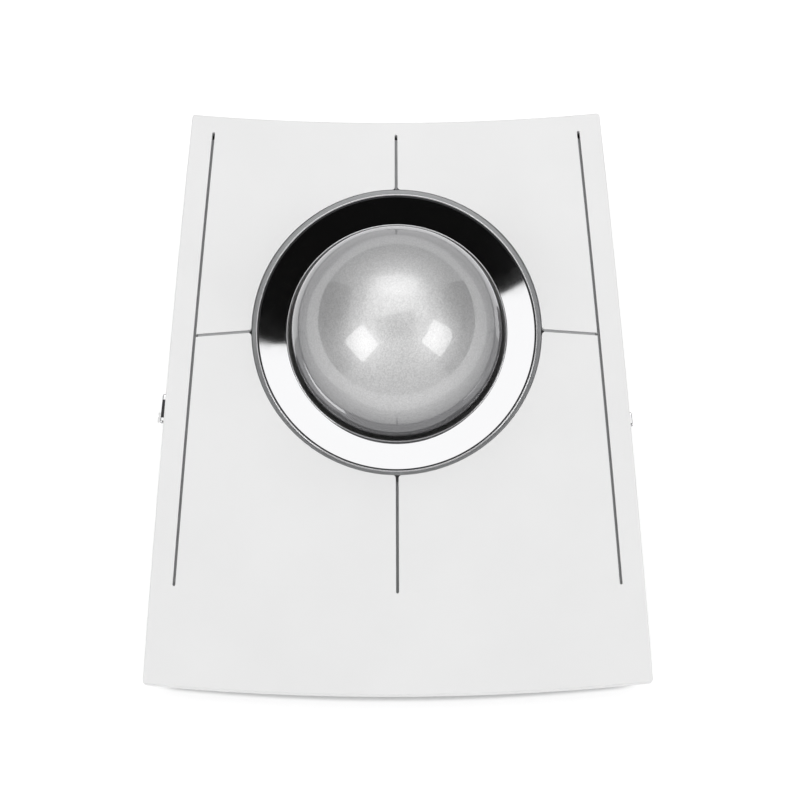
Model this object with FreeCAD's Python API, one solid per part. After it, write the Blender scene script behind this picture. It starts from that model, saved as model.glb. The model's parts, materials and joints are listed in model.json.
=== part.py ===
import FreeCAD, Part
import math
import os

# A large desktop trackball: a 55 mm ball in a chrome ring, in the middle of a gently arched white
# cover that slits divide into four click panels. Millimetres; X to the right, Y to the rear, Z up.
# The origin is on the desk, below the middle of the bounding box.

Vector = FreeCAD.Vector

# ---- Overall shape ----
FRONT_HALF_WIDTH = 66.1
REAR_HALF_WIDTH = 54.4
FRONT_CORNER_Y = -72.9
REAR_CORNER_Y = 76.4
FRONT_BOW = 3.3          # how far the middle of the front edge stands ahead of its corners
REAR_HOLLOW = 3.0        # how far the middle of the rear edge lies inside its corners
CORNER_RADIUS = 0.8
EDGE_ROUND = 0.45        # rounding of the cover's upper rim

# ---- Ball, and the plane in which the ring round it lies ----
BALL_RADIUS = 27.5
BALL_CENTRE = Vector(0, 16.3, 31.0)
RING_TILT = 8.0          # degrees, rear side high
COVER_BELOW_BALL_CENTRE = 0.3

# ---- Arched cover ----
ARCH_RADIUS = 650.0
ARCH_SLOPE = 7.0         # degrees, beside the ball
CROWN_RADIUS = 1500.0
COVER_THICKNESS = 2.2
SKIRT_THICKNESS = 2.0
PARTING_Z = 9.0

# ---- Slits and click panels ----
SLIT_WIDTH = 0.75
LIVING_HINGE_GAP = 0.1
RING_HOLE_RADIUS = 38.05
RING_HOLE_SHIFT = 0.35    # how far the hole's axis lies behind the ball's centre
LONG_SLIT_REAR = Vector(48.6, 70.8, 0)
LONG_SLIT_FRONT = Vector(57.9, -48.2, 0)
SHORT_SLIT_INNER = Vector(37.0, 16.75, 0)
SHORT_SLIT_OUTER = Vector(52.9, 15.75, 0)
CENTRE_SLIT_REAR_Y = 69.6
CENTRE_SLIT_FRONT_Y = -50.5
SLIT_MOUTH_ROUND = 0.8

# ---- Chrome ring, measured in its own tilted plane from the ball's centre ----
RING_OUTER_RADIUS = 36.9
RING_LIP_INNER_RADIUS = 36.5
RING_INNER_RADIUS = 28.6
RING_LIP_TOP = -0.6
RING_CONE_TOP = -1.0
RING_CONE_BOTTOM = -1.9
RING_WALL = 1.1
RING_SEAT = -5.4

# ---- Cup under the ball ----
CUP_INNER_RADIUS = 28.7
CUP_OUTER_RADIUS = 30.2
CUP_RIM = -3.6
CUP_BOTTOM_Z = 6.6
CUP_FLANGE_RADIUS = 40.5
CUP_FLANGE_THICKNESS = 1.6
CUP_POST_REACH = 46.0    # distance of each cup post from the ring's axis
BEARING_RADIUS = 1.25
BEARING_CLEARANCE = 0.05
BEARING_ELEVATION = -38.0
BEARING_AZIMUTHS = (90.0, 210.0, 330.0)
SENSOR_ELEVATION = -35.0
SENSOR_AZIMUTHS = {"right": 35.0, "left": 145.0}
SENSOR_BOARD = Vector(11.0, 17.0, 1.2)
SENSOR_BOARD_AWAY = 35.4      # from the ball's centre, along the line of sight
SENSOR_CHIP = Vector(8.0, 7.0, 1.7)
SENSOR_CHIP_AWAY = 33.95
SENSOR_POST_REACH = 6.2
SENSOR_WINDOW_RADIUS = 3.5

# ---- Ball: concentric layers, so that each turning axis has a body of its own ----
LAYER_CLEARANCE = 0.3
CORE_RADIUS = 18.0
MANTLE_RADIUS = 21.5
PEARL_RADIUS = 25.0

# ---- Bottom case ----
FLOOR_BOTTOM_Z = 1.0
FLOOR_TOP_Z = 2.8
CASE_WALL = 2.0
CASE_INSET_TOP = 0.9
CASE_CORNER_RADIUS = 2.0
CASE_INSET_BOTTOM = 7.0
FRONT_SCREW = Vector(54.0, -62.0, 0)
REAR_SCREW = Vector(41.0, 62.5, 0)
BOSS_RADIUS = 2.7
REAR_BOSS_TOP = 18.0
BOSS_WEB = 1.8                                  # thickness of the webs that hold the rear bosses
POST_RADIUS = 2.5                               # posts for the boards
CUP_POST_RADIUS = 3.0
CASE_POST_RADIUS = 3.4

# ---- Boards and switches ----
BOARD_THICKNESS = 1.6
BUTTON_BOARD_X = 45.0
BUTTON_BOARD_Z = 16.5
SWITCH_BODY = Vector(5.8, 12.8, 6.5)
PLUNGER_Y = {"rear": 7.0, "front": -8.0}        # from the ball's centre
PLUNGER_TRAVEL = 0.4
PLUNGER_STANDS = 0.85                           # above its switch
PRESSER_GAP = 0.05
PRESSER_RADIUS = 1.5
PLUNGER = Vector(1.4, 3.0, 1.85)
PLUNGER_WELL = Vector(1.6, 3.2, 2.4)
PLUNGER_DEPTH = 1.4                             # how far a plunger's foot lies inside its switch
BUTTON_SCREW_REACH = 21.0
MAIN_BOARD_X = (-3.0, 50.0)
MAIN_BOARD_Y = (-62.0, -27.0)
MAIN_BOARD_Z = 6.0
MAIN_SCREW_X = (1.0, 46.0)
MAIN_SCREW_Y = (-58.0, -31.0)
CONTROLLER_X = (20.0, 28.0)
CONTROLLER_Y = (-50.0, -42.0)
RADIO_X = (31.0, 43.0)
RADIO_Y = (-56.0, -46.0)
BATTERY = Vector(42.0, 34.0, 6.5)
BATTERY_CENTRE = Vector(-28.0, -44.0, 6.15)
LEAD_RADIUS = 0.6
BATTERY_WIRE_RADIUS = 0.5
LEAD_OVER_BOARD_Z = MAIN_BOARD_Z + BOARD_THICKNESS + LEAD_RADIUS

# ---- Controls on the sides and underneath ----
SIDE_CONTROL_Z = 21.6
MODE_SWITCH_Y = -2.2
MODE_BEZEL = Vector(2.1, 8.6, 3.6)              # how far it stands proud and in, length, height
MODE_BEZEL_PROUD = 1.35
MODE_KNOB = Vector(2.4, 2.6, 1.6)
MODE_KNOB_PROUD = 2.0
MODE_WINDOW_LENGTH = 7.2
MODE_WINDOW_HEIGHT = 1.9
MODE_TRAVEL = 4.0
DPI_BUTTON_Y = -5.5
DPI_BUTTON = Vector(3.0, 4.4, 3.2)
DPI_PROUD = 0.9
DPI_TRAVEL = 0.5
PAIRING_X = 20.0
PAIRING_Y = -34.0
PAIRING_RADIUS = 2.9
PAIRING_TRAVEL = 0.3
TACT_SWITCH_HALF = 2.6

# ---- Socket at the rear, receiver underneath ----
CHARGE_BOARD_X = (-13.0, 13.0)
CHARGE_BOARD_Y = (58.0, 70.2)
CHARGE_BOARD_Z = 14.0
CHARGE_SCREW = Vector(9.0, 61.5, 0)
USB_C_WIDTH = 8.94
USB_C_HEIGHT = 3.26
USB_C_DEPTH = 7.3
RECEIVER_X = 16.0
RECEIVER_Y = 50.0
RECEIVER_CAP = Vector(15.0, 6.4, 6.2)
RECEIVER_PLUG = Vector(12.0, 4.5, 12.0)
RECEIVER_FIT = 0.15
RECEIVER_WALL = 1.2
RECEIVER_SUNK = 0.2

# ---- Feet ----
FOOT_LENGTH = 22.0
FOOT_WIDTH = 8.0
FOOT_RECESS = 0.2
FRONT_FOOT = Vector(38.0, -61.0, 0)
REAR_FOOT = Vector(25.5, 61.0, 0)

# ---- Screws ----
SCREW_SHANK = 0.8
SCREW_LENGTH = 6.5
SCREW_CLEARANCE = 1.2
SCREW_COUNTERBORE = 2.2
CUP_SCREW_SHANK = 0.85
CUP_SCREW_HOLE = 1.15
CUP_SCREW_HEAD_HEIGHT = 0.7                     # flat, to stay clear of the panels when they are pressed

# ---- Reach of cutting tools, beyond the whole part ----
ABOVE_ALL = 60.0
BEYOND_X = 80.0
BEYOND_Y = 90.0
FLANK_CUT = 8.0

X_AXIS = Vector(1, 0, 0)
Y_AXIS = Vector(0, 1, 0)
Z_AXIS = Vector(0, 0, 1)
ORIGIN = Vector(0, 0, 0)
SIDES = {"left": -1, "right": 1}


# ---------------------------------------------------------------- helpers

def export(shape, name):
    """Write one node. A group of solids is kept as a compound."""
    shape.exportStep("parts/" + name + ".step")


def box(x_range, y_range, z_range):
    """A box between two values on each axis."""
    size = [high - low for low, high in (x_range, y_range, z_range)]
    return Part.makeBox(*size, Vector(x_range[0], y_range[0], z_range[0]))


def centred_box(centre, size):
    """A box about a point."""
    return Part.makeBox(size.x, size.y, size.z, centre - size * 0.5)


def rounded_box(centre, size, radius, axis):
    """A box about a point, its four edges along one axis rounded."""
    block = centred_box(centre, size)
    along = [edge for edge in block.Edges if edge.tangentAt(edge.FirstParameter).cross(axis).Length < 1e-6]
    return block.makeFillet(radius, along)


def cylinder(radius, foot, height, axis=Z_AXIS):
    """A cylinder that stands on a point."""
    return Part.makeCylinder(radius, height, foot, axis)


def half_width(y):
    """Half the cover's width at one distance from front to rear."""
    share = (y - FRONT_CORNER_Y) / (REAR_CORNER_Y - FRONT_CORNER_Y)
    return FRONT_HALF_WIDTH + share * (REAR_HALF_WIDTH - FRONT_HALF_WIDTH)


SIDE_SKEW = math.degrees(math.atan((FRONT_HALF_WIDTH - REAR_HALF_WIDTH) / (REAR_CORNER_Y - FRONT_CORNER_Y)))


def arch_centre():
    """The arch's centre (Y, Z), from the slope that it has beside the ball."""
    slope = math.radians(ARCH_SLOPE)
    y = BALL_CENTRE.y + ARCH_RADIUS * math.sin(slope)
    z = BALL_CENTRE.z - COVER_BELOW_BALL_CENTRE - ARCH_RADIUS * math.cos(slope)
    return y, z


def cover_z(x, y):
    """Height of the cover's upper face."""
    centre_y, centre_z = arch_centre()
    arch = centre_z + math.sqrt(ARCH_RADIUS ** 2 - (y - centre_y) ** 2)
    return arch - x * x / (2 * CROWN_RADIUS)


def outline_face(inset, z):
    """The cover's outline in plan: straight flanks, a bowed front and a hollow rear."""
    front_y = FRONT_CORNER_Y + inset
    rear_y = REAR_CORNER_Y - inset
    front_x = half_width(front_y) - inset
    rear_x = half_width(rear_y) - inset
    front_left = Vector(-front_x, front_y, z)
    front_right = Vector(front_x, front_y, z)
    rear_right = Vector(rear_x, rear_y, z)
    rear_left = Vector(-rear_x, rear_y, z)
    edges = [
        Part.Arc(front_left, Vector(0, front_y - FRONT_BOW, z), front_right).toShape(),
        Part.LineSegment(front_right, rear_right).toShape(),
        Part.Arc(rear_right, Vector(0, rear_y - REAR_HOLLOW, z), rear_left).toShape(),
        Part.LineSegment(rear_left, front_left).toShape(),
    ]
    return Part.Face(Part.Wire(edges))


def outline_prism(inset, low, high):
    """The outline as an upright block with rounded corners."""
    block = outline_face(inset, low).extrude(Vector(0, 0, high - low))
    upright = [edge for edge in block.Edges if abs(edge.tangentAt(edge.FirstParameter).z) > 0.99]
    return block.makeFillet(CORNER_RADIUS, upright)


def below_cover(depth):
    """The space under the cover's upper face, or a depth under it: a swept arc with a crown."""
    centre_y, centre_z = arch_centre()
    radius = ARCH_RADIUS - depth
    edge_z = centre_z + radius - BEYOND_X ** 2 / (2 * CROWN_RADIUS)
    profile = Part.Arc(
        Vector(-BEYOND_X, centre_y, edge_z),
        Vector(0, centre_y, centre_z + radius),
        Vector(BEYOND_X, centre_y, edge_z),
    ).toShape()
    rear_angle = math.degrees(math.asin((BEYOND_Y - centre_y) / radius))
    front_angle = math.degrees(math.asin((-BEYOND_Y - centre_y) / radius))
    axis_point = Vector(0, centre_y, centre_z)
    profile.rotate(axis_point, X_AXIS, -rear_angle)
    face = profile.revolve(axis_point, X_AXIS, rear_angle - front_angle)
    return face.extrude(Vector(0, 0, -BEYOND_Y))


def to_ring_plane(shape):
    """Move a shape from the ring's own frame to its place round the ball."""
    shape.rotate(ORIGIN, X_AXIS, RING_TILT)
    shape.translate(BALL_CENTRE)
    return shape


def turned(points):
    """A ring turned from a closed profile of (radius, height) points."""
    wire = Part.makePolygon([Vector(radius, 0, height) for radius, height in points + points[:1]])
    return Part.Face(wire).revolve(ORIGIN, Z_AXIS, 360)


def direction(azimuth, elevation):
    """A unit vector from two angles in degrees."""
    flat = math.cos(math.radians(elevation))
    x = flat * math.cos(math.radians(azimuth))
    y = flat * math.sin(math.radians(azimuth))
    return Vector(x, y, math.sin(math.radians(elevation)))


def slot_prism(start, end, width, low, high):
    """An upright slot with round ends between two points in plan."""
    run = Vector(end.x - start.x, end.y - start.y, 0)
    side = Vector(-run.y, run.x, 0)
    side.normalize()
    side = side * (width / 2)
    ahead = Vector(run.x, run.y, 0)
    ahead.normalize()
    ahead = ahead * (width / 2)
    a = Vector(start.x, start.y, low)
    b = Vector(end.x, end.y, low)
    edges = [
        Part.LineSegment(a + side, b + side).toShape(),
        Part.Arc(b + side, b + ahead, b - side).toShape(),
        Part.LineSegment(b - side, a - side).toShape(),
        Part.Arc(a - side, a - ahead, a + side).toShape(),
    ]
    return Part.Face(Part.Wire(edges)).extrude(Vector(0, 0, high - low))


def on_flank(shape, side, y, z):
    """Turn a shape that faces +X so that it faces out of one flank, and put it at that height."""
    if side < 0:
        shape = shape.mirror(ORIGIN, X_AXIS)
    shape.rotate(ORIGIN, Z_AXIS, side * SIDE_SKEW)
    shape.translate(Vector(side * half_width(y), y, z))
    return shape


def lead(points, radius):
    """A round lead: straight runs joined by tangent arcs, as large as the runs allow."""
    edges = []
    last = points[0]
    for before, corner, after in zip(points, points[1:], points[2:]):
        into = corner - before
        away = after - corner
        half_turn = into.getAngle(away) / 2
        trim = 0.45 * min(into.Length, away.Length)
        start = corner - into * (trim / into.Length)
        end = corner + away * (trim / away.Length)
        arc_radius = trim / math.tan(half_turn)
        middle = start + end - corner * 2
        middle.normalize()
        top = corner + middle * (arc_radius / math.cos(half_turn) - arc_radius)
        edges.append(Part.LineSegment(last, start).toShape())
        edges.append(Part.Arc(start, top, end).toShape())
        last = end
    edges.append(Part.LineSegment(last, points[-1]).toShape())
    path = Part.Wire(edges)
    section = Part.Wire(Part.Circle(points[0], points[1] - points[0], radius).toShape())
    return path.makePipeShell([section], True, False)


# ---------------------------------------------------------------- cover and click panels

def slit_cutter():
    """All the slits, the ring's hole and the hair-thin lines at the living hinges."""
    low, high = PARTING_Z + 2, ABOVE_ALL
    depth = 9.0
    cutters = [to_ring_plane(cylinder(RING_HOLE_RADIUS, Vector(0, RING_HOLE_SHIFT, -depth), ABOVE_ALL))]
    rear_end = Vector(0, CENTRE_SLIT_REAR_Y, 0)
    front_end = Vector(0, CENTRE_SLIT_FRONT_Y, 0)
    inside_hole = Vector(0, RING_HOLE_RADIUS - 2, 0)
    cutters.append(slot_prism(BALL_CENTRE + inside_hole, rear_end, SLIT_WIDTH, low, high))
    cutters.append(slot_prism(BALL_CENTRE - inside_hole, front_end, SLIT_WIDTH, low, high))
    for side in SIDES.values():
        rear = Vector(side * LONG_SLIT_REAR.x, LONG_SLIT_REAR.y, 0)
        front = Vector(side * LONG_SLIT_FRONT.x, LONG_SLIT_FRONT.y, 0)
        inner = Vector(side * SHORT_SLIT_INNER.x, SHORT_SLIT_INNER.y, 0)
        outer = Vector(side * SHORT_SLIT_OUTER.x, SHORT_SLIT_OUTER.y, 0)
        cutters.append(slot_prism(rear, front, SLIT_WIDTH, low, high))
        cutters.append(slot_prism(inner, outer, SLIT_WIDTH, low, high))
        cutters.append(slot_prism(rear_end, rear, LIVING_HINGE_GAP, low, high))
        cutters.append(slot_prism(front_end, front, LIVING_HINGE_GAP, low, high))
    return cutters[0].fuse(cutters[1:])


def round_slit_mouths(panel):
    """Round the upright corners where a panel's slits open into the ring's gap."""
    corners = []
    for edge in panel.Edges:
        middle = edge.CenterOfMass
        upright = abs(edge.tangentAt(edge.FirstParameter).z) > 0.98
        reach = math.hypot(middle.x, middle.y - BALL_CENTRE.y - RING_HOLE_SHIFT)
        if upright and abs(reach - RING_HOLE_RADIUS) < 0.8 and edge.Length < 4:
            corners.append(edge)
    return panel.makeFillet(SLIT_MOUTH_ROUND, corners)


def cover_blank():
    """The cover before it is slit: an arched lid with a skirt down to the parting line."""
    block = outline_prism(0, PARTING_Z, ABOVE_ALL).common(below_cover(0))
    rim = []
    for edge in block.Edges:
        level = abs(edge.tangentAt(edge.FirstParameter).z) < 0.5
        if level and edge.BoundBox.ZMin > PARTING_Z + 1:
            rim.append(edge)
    rounded = block.makeFillet(EDGE_ROUND, rim)
    hollow = outline_prism(SKIRT_THICKNESS, PARTING_Z - 1, ABOVE_ALL).common(below_cover(COVER_THICKNESS))
    return rounded.cut(hollow)


def presser(panel, side, end):
    """Add the post under a panel that presses its switch."""
    y = BALL_CENTRE.y + PLUNGER_Y[end]
    x = side * BUTTON_BOARD_X
    foot = BUTTON_BOARD_Z + BOARD_THICKNESS + SWITCH_BODY.z + PLUNGER_STANDS + PRESSER_GAP
    top = cover_z(x, y) - COVER_THICKNESS / 2
    return panel.fuse(cylinder(PRESSER_RADIUS, Vector(x, y, foot), top - foot))


def cover_bosses():
    """Posts inside the cover that take the case screws. The rear ones hang on webs from the skirt."""
    foot = FLOOR_TOP_Z + 0.1
    posts = []
    for x, y in case_screw_places():
        if y < 0:
            posts.append(cylinder(BOSS_RADIUS, Vector(x, y, foot), cover_z(x, y) - 1 - foot))
        else:
            posts.append(cylinder(BOSS_RADIUS, Vector(x, y, foot), REAR_BOSS_TOP - foot))
            web_x = (x - BOSS_WEB / 2, x + BOSS_WEB / 2)
            web_end = REAR_CORNER_Y - REAR_HOLLOW + 0.4
            posts.append(box(web_x, (y, web_end), (PARTING_Z + 0.5, REAR_BOSS_TOP)))
    return posts


def case_screw_places():
    """Where the case screws stand, seen from above."""
    places = []
    for side in SIDES.values():
        places.append((side * FRONT_SCREW.x, FRONT_SCREW.y))
        places.append((side * REAR_SCREW.x, REAR_SCREW.y))
    return places


def flank_openings():
    """Openings in the skirt for the mode switch, the side button and the socket."""
    seat = MODE_BEZEL.x - MODE_BEZEL_PROUD
    recess_centre = Vector(FLANK_CUT / 2 - seat, 0, 0)
    recess = rounded_box(recess_centre, Vector(FLANK_CUT, MODE_BEZEL.y, MODE_BEZEL.z), 1.0, X_AXIS)
    mode = rounded_box(ORIGIN, Vector(FLANK_CUT, MODE_BEZEL.y - 1.0, MODE_BEZEL.z - 1.0), 0.9, X_AXIS)
    dpi = rounded_box(ORIGIN, Vector(FLANK_CUT, DPI_BUTTON.y + 0.2, DPI_BUTTON.z + 0.2), 1.1, X_AXIS)
    return [
        on_flank(recess, -1, MODE_SWITCH_Y, SIDE_CONTROL_Z),
        on_flank(mode, -1, MODE_SWITCH_Y, SIDE_CONTROL_Z),
        on_flank(dpi, 1, DPI_BUTTON_Y, SIDE_CONTROL_Z),
        socket_opening(),
    ]


def socket_centre():
    """The middle of the socket's mouth, flush with the rear skirt."""
    rear_y = REAR_CORNER_Y - REAR_HOLLOW
    return Vector(0, rear_y, CHARGE_BOARD_Z + BOARD_THICKNESS + USB_C_HEIGHT / 2)


def socket_opening():
    """The hole in the rear skirt through which the socket is reached."""
    size = Vector(USB_C_WIDTH + 0.6, 12, USB_C_HEIGHT + 0.6)
    return rounded_box(socket_centre(), size, size.z * 0.45, Y_AXIS)


def make_cover():
    """The cover's fixed frame, and its four click panels with their pressers."""
    blank = cover_blank()
    pieces = blank.cut(slit_cutter()).Solids
    frame = max(pieces, key=lambda solid: solid.Volume)
    frame = frame.fuse(cover_bosses())
    pilots = []
    for x, y in case_screw_places():
        pilots.append(cylinder(SCREW_SHANK, Vector(x, y, FLOOR_TOP_Z), SCREW_LENGTH))
    frame = frame.cut(flank_openings() + pilots)
    export(frame, "top_cover")
    panels = sorted(pieces, key=lambda solid: solid.Volume)[-5:-1]
    for solid in panels:
        middle = solid.CenterOfMass
        name = "right" if middle.x > 0 else "left"
        end = "rear" if middle.y > BALL_CENTRE.y else "front"
        panel = presser(round_slit_mouths(solid), SIDES[name], end)
        export(panel, end + "_" + name + "_button")


# ---------------------------------------------------------------- ring, cup and ball

def make_ring():
    """The chrome ring: a shallow cone between two thin rolled lips."""
    lip = (RING_OUTER_RADIUS - RING_LIP_INNER_RADIUS) / 2
    points = [
        (RING_OUTER_RADIUS, RING_SEAT),
        (RING_OUTER_RADIUS, RING_LIP_TOP - lip),
        (RING_OUTER_RADIUS - lip * 0.3, RING_LIP_TOP - lip * 0.3),
        (RING_OUTER_RADIUS - lip, RING_LIP_TOP),
        (RING_LIP_INNER_RADIUS + lip * 0.3, RING_LIP_TOP - lip * 0.3),
        (RING_LIP_INNER_RADIUS, RING_CONE_TOP),
        (RING_INNER_RADIUS + 0.55, RING_CONE_BOTTOM),
        (RING_INNER_RADIUS + 0.4, RING_CONE_BOTTOM + 0.2),
        (RING_INNER_RADIUS + 0.12, RING_CONE_BOTTOM + 0.2),
        (RING_INNER_RADIUS, RING_CONE_BOTTOM),
        (RING_INNER_RADIUS, CUP_RIM + 0.05),
        (RING_INNER_RADIUS + RING_WALL, CUP_RIM + 0.05),
        (RING_INNER_RADIUS + RING_WALL + 0.6, RING_CONE_BOTTOM - RING_WALL),
        (RING_OUTER_RADIUS - RING_WALL, RING_CONE_TOP - RING_WALL),
        (RING_OUTER_RADIUS - RING_WALL, RING_SEAT),
    ]
    export(to_ring_plane(turned(points)), "bezel_ring")


def cup_post_places():
    """Where the four posts under the cup's flange stand."""
    reach = CUP_POST_REACH / math.sqrt(2)
    return [(x * reach, BALL_CENTRE.y + y * reach) for x in (-1, 1) for y in (-1, 1)]


def cup_ears():
    """Ears on the cup's flange, level with the desk, that the cup screws go through."""
    ears = []
    for x, y in cup_post_places():
        z = cup_ear_z(y)
        inward = Vector(BALL_CENTRE.x - x, BALL_CENTRE.y - y, 0)
        inward.normalize()
        root = Vector(x, y, z) + inward * (CUP_POST_REACH - CUP_INNER_RADIUS)
        ears.append(slot_prism(Vector(x, y, z), root, 7.0, z, z + CUP_FLANGE_THICKNESS))
    return ears


def cup_ear_z(y):
    """Height of the underside of the cup ears at one distance from front to rear."""
    rise = math.tan(math.radians(RING_TILT)) * (y - BALL_CENTRE.y) * 0.8
    return BALL_CENTRE.z + RING_SEAT - CUP_FLANGE_THICKNESS - 0.6 + rise


def make_cup():
    """The cup that carries the bearings and sensors, open at its foot, with a flange on top."""
    low = CUP_BOTTOM_Z - BALL_CENTRE.z
    shell = Part.makeSphere(CUP_OUTER_RADIUS)
    across = (-BEYOND_X, BEYOND_X)
    above = to_ring_plane(box(across, across, (CUP_RIM, ABOVE_ALL)))
    shell.translate(BALL_CENTRE)
    shell = shell.cut([above, box(across, across, (-ABOVE_ALL, CUP_BOTTOM_Z))])
    flange_foot = Vector(0, 0, RING_SEAT - CUP_FLANGE_THICKNESS)
    flange = to_ring_plane(cylinder(CUP_FLANGE_RADIUS, flange_foot, CUP_FLANGE_THICKNESS))
    foot_radius = math.sqrt(CUP_OUTER_RADIUS ** 2 - low ** 2)
    foot = cylinder(foot_radius + 0.5, Vector(0, BALL_CENTRE.y, FLOOR_TOP_Z), CUP_BOTTOM_Z - FLOOR_TOP_Z + 1)
    cup = shell.fuse([flange, foot] + cup_ears())
    room = Part.makeSphere(CUP_INNER_RADIUS)
    room.translate(BALL_CENTRE)
    mouth = to_ring_plane(cylinder(CUP_INNER_RADIUS, ORIGIN, ABOVE_ALL))
    cutters = [room, mouth]
    cutters.append(cylinder(foot_radius - 2.2, Vector(0, BALL_CENTRE.y, 0), CUP_BOTTOM_Z + 4))
    for x, y in cup_post_places():
        cutters.append(cylinder(CUP_SCREW_HOLE, Vector(x, y, cup_ear_z(y) - 1), 5))
    for azimuth in BEARING_AZIMUTHS:
        cutters.append(bearing(azimuth, BEARING_RADIUS))
    for azimuth in SENSOR_AZIMUTHS.values():
        ray = direction(azimuth, SENSOR_ELEVATION)
        cutters.append(cylinder(SENSOR_WINDOW_RADIUS, BALL_CENTRE + ray * 20, 14, ray))
    posts = []
    for azimuth in SENSOR_AZIMUTHS.values():
        ray = direction(azimuth, SENSOR_ELEVATION)
        sideways = Vector(-ray.y, ray.x, 0)
        sideways.normalize()
        for hand in (-1, 1):
            foot_point = BALL_CENTRE + ray * (CUP_INNER_RADIUS + 0.3) + sideways * (hand * SENSOR_POST_REACH)
            posts.append(cylinder(1.6, foot_point, 5.8, ray))
    export(cup.fuse(posts).cut(cutters), "ball_cup")


def bearing(azimuth, radius):
    """One of the small balls that the big ball rolls on."""
    ball = Part.makeSphere(radius)
    reach = BALL_RADIUS + BEARING_CLEARANCE + BEARING_RADIUS
    ball.translate(BALL_CENTRE + direction(azimuth, BEARING_ELEVATION) * reach)
    return ball


def make_bearings():
    """The three bearings, pressed into the cup."""
    for number, azimuth in enumerate(BEARING_AZIMUTHS, start=1):
        export(bearing(azimuth, BEARING_RADIUS), "support_bearing_" + str(number))


def ball_layer(name, inner, outer):
    """One closed layer of the ball."""
    layer = Part.makeSphere(outer)
    if inner:
        layer = layer.cut(Part.makeSphere(inner))
    layer.translate(BALL_CENTRE)
    export(layer, name)


def make_ball():
    """The ball, as nested layers."""
    ball_layer("ball_core", 0, CORE_RADIUS)
    ball_layer("ball_mantle", CORE_RADIUS + LAYER_CLEARANCE, MANTLE_RADIUS)
    ball_layer("ball_pearl_layer", MANTLE_RADIUS + LAYER_CLEARANCE, PEARL_RADIUS)
    ball_layer("ball_clear_coat", PEARL_RADIUS + LAYER_CLEARANCE, BALL_RADIUS)


# ---------------------------------------------------------------- sensors

def in_sensor_frame(shape, azimuth):
    """Place a shape whose +Z looks away from the ball's centre along a sensor's line of sight."""
    shape.rotate(ORIGIN, Y_AXIS, 90 - SENSOR_ELEVATION)
    shape.rotate(ORIGIN, Z_AXIS, azimuth)
    shape.translate(BALL_CENTRE)
    return shape


def make_sensors():
    """Two sensor boards outside the cup, each with its chip and its lens in the cup's window."""
    for name, azimuth in SENSOR_AZIMUTHS.items():
        board = centred_box(Vector(0, 0, SENSOR_BOARD_AWAY), SENSOR_BOARD)
        holes = [cylinder(0.9, Vector(0, hand * SENSOR_POST_REACH, 34), 4) for hand in (-1, 1)]
        export(in_sensor_frame(board.cut(holes), azimuth), "sensor_board_" + name)
        chip = centred_box(Vector(0, 0, SENSOR_CHIP_AWAY), SENSOR_CHIP)
        export(in_sensor_frame(chip, azimuth), "sensor_chip_" + name)
        lens = cylinder(3.3, Vector(0, 0, 29.0), 2.2).fuse(cylinder(4.2, Vector(0, 0, 31.2), 1.9))
        export(in_sensor_frame(lens, azimuth), "sensor_lens_" + name)


# ---------------------------------------------------------------- bottom case and feet

def case_block(shrink, low, high):
    """The tapering block that the bottom case is made of, narrower by a wall when it is hollow."""
    rise = (high - FLOOR_BOTTOM_Z) / (PARTING_Z - FLOOR_BOTTOM_Z)
    sink = (low - FLOOR_BOTTOM_Z) / (PARTING_Z - FLOOR_BOTTOM_Z)
    span = CASE_INSET_TOP - CASE_INSET_BOTTOM
    sections = []
    for height, share in ((low, sink), (high, rise)):
        inset = CASE_INSET_BOTTOM + span * share + shrink
        sections.append(outline_face(inset, height).OuterWire)
    block = Part.makeLoft(sections, True, True)
    corners = []
    for edge in block.Edges:
        if edge.BoundBox.ZLength > high - low - 0.01:
            corners.append(edge)
    return block.makeFillet(CASE_CORNER_RADIUS, corners)


def foot_places():
    """The middle of each foot, seen from above."""
    places = {}
    for name, side in SIDES.items():
        places["front_" + name] = Vector(side * FRONT_FOOT.x, FRONT_FOOT.y, 0)
        places["rear_" + name] = Vector(side * REAR_FOOT.x, REAR_FOOT.y, 0)
    return places


def foot_shape(centre, grow, low, high):
    """A foot's outline: a bar with round ends."""
    half = FOOT_LENGTH / 2 - FOOT_WIDTH / 2
    reach = Vector(half, 0, 0)
    return slot_prism(centre - reach, centre + reach, FOOT_WIDTH + 2 * grow, low, high)


def screw_posts(places, top, radius=POST_RADIUS):
    """Posts on the floor that boards and the cup are screwed to."""
    return [cylinder(radius, Vector(x, y, FLOOR_TOP_Z - 0.5), top - FLOOR_TOP_Z + 0.5) for x, y in places]


def button_board_screws(side):
    """The two screws of one button board."""
    reaches = (-BUTTON_SCREW_REACH, BUTTON_SCREW_REACH)
    return [(side * BUTTON_BOARD_X, BALL_CENTRE.y + reach) for reach in reaches]


def main_board_screws():
    """The screws of the main board."""
    return [(x, y) for x in MAIN_SCREW_X for y in MAIN_SCREW_Y]


def charge_board_screws():
    """The screws of the small board behind the ball."""
    return [(side * CHARGE_SCREW.x, CHARGE_SCREW.y) for side in SIDES.values()]


def receiver_block(size, grow, low, high):
    """A block about the receiver's middle, a little wider all round than one of its two parts."""
    half_x = size.x / 2 + grow
    half_y = size.y / 2 + grow
    x_range = (RECEIVER_X - half_x, RECEIVER_X + half_x)
    y_range = (RECEIVER_Y - half_y, RECEIVER_Y + half_y)
    return box(x_range, y_range, (low, high))


def receiver_cavity(grow):
    """The space of the stowed receiver: a pocket for its cap and a deeper one for its plug."""
    cap_top = FLOOR_BOTTOM_Z + RECEIVER_SUNK + RECEIVER_CAP.z
    pocket = receiver_block(RECEIVER_CAP, grow, FLOOR_BOTTOM_Z - 1, cap_top + grow)
    shaft = receiver_block(RECEIVER_PLUG, grow, FLOOR_BOTTOM_Z, cap_top + RECEIVER_PLUG.z + grow)
    return pocket.fuse(shaft)


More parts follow.
